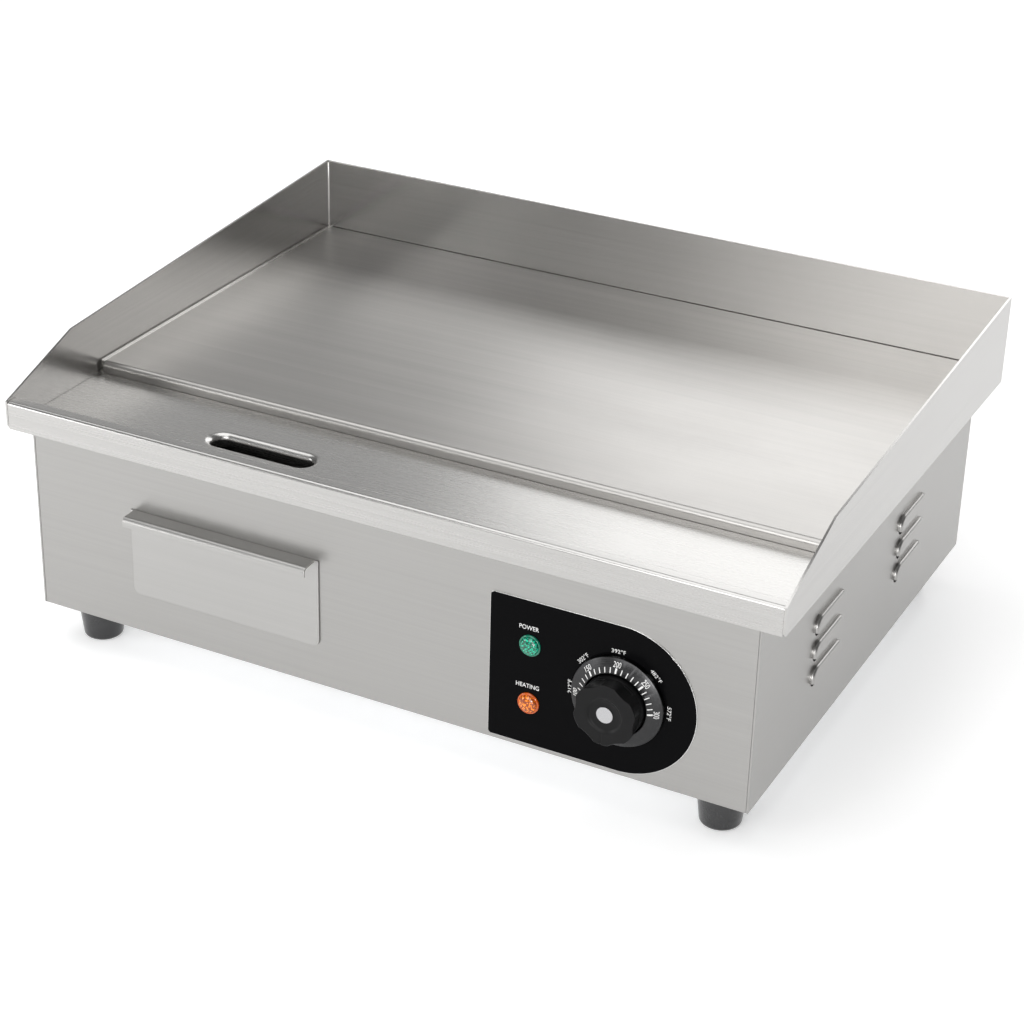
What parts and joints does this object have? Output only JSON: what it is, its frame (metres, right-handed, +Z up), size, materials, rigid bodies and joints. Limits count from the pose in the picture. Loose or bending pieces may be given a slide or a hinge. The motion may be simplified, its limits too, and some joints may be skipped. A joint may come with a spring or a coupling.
{
  "type": "electric griddle",
  "caption": "Countertop electric griddle: flat heated plate inside splash guards, gutter with a drain slot, pull-out grease drawer, and a thermostat dial with two indicator lamps.",
  "frame": {"origin": "on the counter, under the middle of the whole object's box, knob and cable gland included", "axes": "+X to the right as the user faces the controls, +Y to the back, +Z up"},
  "size_m": [0.55, 0.4338, 0.2234],
  "materials": {
    "brushed_steel_top": "long-grain brushed stainless sheet, satin",
    "brushed_steel_case": "horizontal-grain brushed stainless sheet, satin",
    "plate_steel": "ground cooking plate, fine grain along its width",
    "weld_steel": "dressed and polished weld",
    "drawer_steel": "bead-satin stainless sheet",
    "zinc_steel": "bright zinc-plated steel",
    "element_sheath": "heat-darkened nickel alloy sheath",
    "heat_shield": "aluminised sheet",
    "fibre": "ceramic fibre blanket",
    "copper": "bare copper",
    "brass": "turned brass",
    "ceramic": "unglazed steatite",
    "phenolic": "moulded phenolic",
    "rubber": "glossy moulded black rubber",
    "fascia_black": "printed satin-gloss black foil with a bare metal edge",
    "dial_metal": "spun black-anodised aluminium with white print",
    "knob_black": "fine-textured satin black phenolic",
    "knob_cap_satin": "turned satin aluminium insert",
    "lens_green": "clear green moulded lens with a prism pattern",
    "lens_orange": "clear orange moulded lens with a prism pattern",
    "lamp_nylon": "natural nylon",
    "gland_black": "moulded black nylon",
    "wire_brown": "silicone insulation",
    "wire_blue": "silicone insulation",
    "wire_grey": "silicone insulation",
    "wire_green": "green and yellow silicone insulation"
  },
  "bodies": {
    "root": {"deck_tray": "brushed_steel_top", "splash_guard_left": "brushed_steel_top", "splash_guard_right": "brushed_steel_top", "splash_guard_rear": "brushed_steel_top", "griddle_plate": "plate_steel", "plate_weld_seam": "weld_steel", "plate_studs": "zinc_steel", "stud_nuts": "zinc_steel", "heating_element_left": "element_sheath", "heating_element_right": "element_sheath", "element_terminals": "ceramic", "element_clamp_bars": "zinc_steel", "sensing_bulb": "copper", "bulb_saddle": "zinc_steel", "capillary_tube": "copper", "high_limit_cutout": "phenolic", "insulation_blanket": "fibre", "insulation_tray": "heat_shield", "front_panel": "brushed_steel_case", "side_panel_left": "brushed_steel_case", "side_panel_right": "brushed_steel_case", "rear_panel": "brushed_steel_case", "base_plate": "zinc_steel", "rear_screws": "zinc_steel", "base_screws": "zinc_steel", "foot_front_left": "rubber", "foot_front_right": "rubber", "foot_rear_left": "rubber", "foot_rear_right": "rubber", "foot_screws": "zinc_steel", "foot_nuts": "zinc_steel", "control_fascia": "fascia_black", "dial_bezel": "dial_metal", "thermostat_body": "zinc_steel", "thermostat_screws": "zinc_steel", "power_lamp_lens": "lens_green", "heating_lamp_lens": "lens_orange", "power_lamp_body": "lamp_nylon", "heating_lamp_body": "lamp_nylon", "lamp_nuts": "lamp_nylon", "drain_chute": "drawer_steel", "drawer_runner_left": "zinc_steel", "drawer_runner_right": "zinc_steel", "runner_bracket": "zinc_steel", "terminal_block": "ceramic", "terminal_screws": "brass", "earth_stud": "brass", "cable_gland": "gland_black", "gland_locknut": "gland_black", "bonding_stud": "brass", "bonding_nuts": "brass", "live_wires": "wire_brown", "neutral_wires": "wire_blue", "lamp_wires": "wire_grey", "earth_wire": "wire_green"},
    "drawer": {"drawer_front": "drawer_steel", "drawer_tray": "drawer_steel"},
    "knob": {"thermostat_shaft": "zinc_steel", "thermostat_knob": "knob_black", "knob_cap": "knob_cap_satin"}
  },
  "joints": [
    {"name": "drawer_slide", "type": "slide", "parent": "root", "child": "drawer", "axis": [0, -1, 0], "range_m": [0, 0.15]},
    {"name": "knob_turn", "type": "hinge", "parent": "root", "child": "knob", "pos_m": [0.172, -0.20105, 0.084], "axis": [0, 1, 0], "range_deg": [0, 265]}
  ]
}
